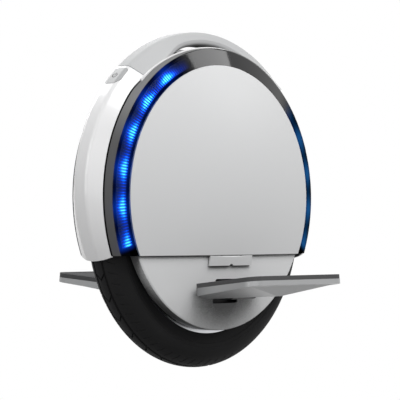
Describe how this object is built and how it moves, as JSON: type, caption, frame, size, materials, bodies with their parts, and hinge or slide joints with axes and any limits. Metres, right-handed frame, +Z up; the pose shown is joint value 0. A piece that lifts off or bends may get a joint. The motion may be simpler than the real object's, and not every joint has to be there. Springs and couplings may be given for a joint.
{
  "type": "electric unicycle",
  "caption": "Self-balancing electric unicycle: hub-motor wheel in a round body with smoked light rings, top carry handle with a silicone grip and folding side pedals.",
  "frame": {"origin": "the tyre's contact point with the ground, under the middle of the axle", "axes": "+X to the front (the end with the power button), +Y to the left pedal, +Z up"},
  "size_m": [0.46, 0.3812, 0.47],
  "materials": {
    "tyre_rubber": "matte black tread rubber",
    "tube_rubber": "matte butyl rubber",
    "rim_alloy": "satin machined alloy",
    "bright_steel": "brushed steel",
    "magnet": "nickel plated",
    "lamination": "stacked steel laminations",
    "copper": "enamelled copper wire",
    "hub_alloy": "cast alloy",
    "black_plastic": "matte black glass-filled plastic",
    "shell_white": "glossy white plastic",
    "grip_silicone": "matte light grey silicone",
    "button_grey": "satin grey plastic",
    "smoked_lens": "glossy smoked plastic",
    "light_blue": "ribbed blue light guide, lit",
    "board": "green circuit board",
    "panel_upper": "satin white plastic",
    "panel_lower": "satin light grey plastic",
    "pedal_metal": "fine textured light grey paint on cast alloy",
    "pedal_rubber": "matte black rubber",
    "hanger_steel": "black painted steel",
    "battery_wrap": "blue shrink wrap"
  },
  "bodies": {
    "housing": {"axle": "bright_steel", "bearing_inner_races": "bright_steel", "axle_washers": "bright_steel", "axle_nuts": "bright_steel", "latch_pins": "bright_steel", "pedal_pins": "bright_steel", "hanger_bolts": "bright_steel", "charge_cap_pin": "bright_steel", "stator_core": "lamination", "stator_windings": "copper", "stator_hub": "hub_alloy", "heat_sink": "hub_alloy", "handle_core": "hub_alloy", "wheel_liner": "black_plastic", "button_switch": "black_plastic", "charge_inlet": "black_plastic", "side_frame_left": "black_plastic", "side_frame_right": "black_plastic", "front_shell": "shell_white", "rear_shell": "shell_white", "well_rail_left": "shell_white", "well_rail_right": "shell_white", "grip_sleeve": "grip_silicone", "light_ring_left": "smoked_lens", "light_ring_right": "smoked_lens", "light_guide_left": "light_blue", "light_guide_right": "light_blue", "led_strip_left": "board", "led_strip_right": "board", "control_board": "board", "upper_panel_left": "panel_upper", "upper_panel_right": "panel_upper", "lower_panel_left": "panel_lower", "lower_panel_right": "panel_lower", "pedal_hanger_left": "hanger_steel", "pedal_hanger_right": "hanger_steel", "battery_pack_left": "battery_wrap", "battery_pack_right": "battery_wrap"},
    "wheel": {"tyre": "tyre_rubber", "inner_tube": "tube_rubber", "wheel_rim": "rim_alloy", "valve_stem": "bright_steel", "rotor_magnets": "magnet", "motor_cover_left": "rim_alloy", "motor_cover_right": "rim_alloy", "motor_cover_screws": "bright_steel", "bearing_outer_races": "bright_steel", "bearing_balls": "bright_steel"},
    "pedal_left": {"pedal_plate_left": "pedal_metal", "pedal_pad_left": "pedal_rubber"},
    "pedal_right": {"pedal_plate_right": "pedal_metal", "pedal_pad_right": "pedal_rubber"},
    "flap_left": {"latch_flap_left": "panel_upper"},
    "flap_right": {"latch_flap_right": "panel_upper"},
    "button": {"power_button": "button_grey"},
    "cap": {"charge_cap": "button_grey"}
  },
  "joints": [
    {"name": "wheel_spin", "type": "hinge", "parent": "housing", "child": "wheel", "pos_m": [0, 0, 0.206], "axis": [0, 1, 0], "continuous": true},
    {"name": "pedal_left_fold", "type": "hinge", "parent": "housing", "child": "pedal_left", "pos_m": [0, 0.084, 0.10599], "axis": [1, 0, 0], "range_deg": [0, 76]},
    {"name": "pedal_right_fold", "type": "hinge", "parent": "housing", "child": "pedal_right", "pos_m": [0, -0.084, 0.10599], "axis": [-1, 0, 0], "range_deg": [0, 76]},
    {"name": "battery_latch_left", "type": "hinge", "parent": "housing", "child": "flap_left", "pos_m": [0, 0.06438, 0.15525], "axis": [1, 0, 0], "range_deg": [0, 30]},
    {"name": "battery_latch_right", "type": "hinge", "parent": "housing", "child": "flap_right", "pos_m": [0, -0.06438, 0.15525], "axis": [-1, 0, 0], "range_deg": [0, 30]},
    {"name": "power_button_press", "type": "slide", "parent": "housing", "child": "button", "axis": [-0.7096, 0, -0.7046], "range_m": [0, 0.0012], "stiffness_N_per_m": 800, "springref_m": -0.0005},
    {"name": "charge_cap_open", "type": "hinge", "parent": "housing", "child": "cap", "pos_m": [-0.17194, 0, 0.39114], "axis": [0, -1, 0], "range_deg": [0, 80]}
  ]
}
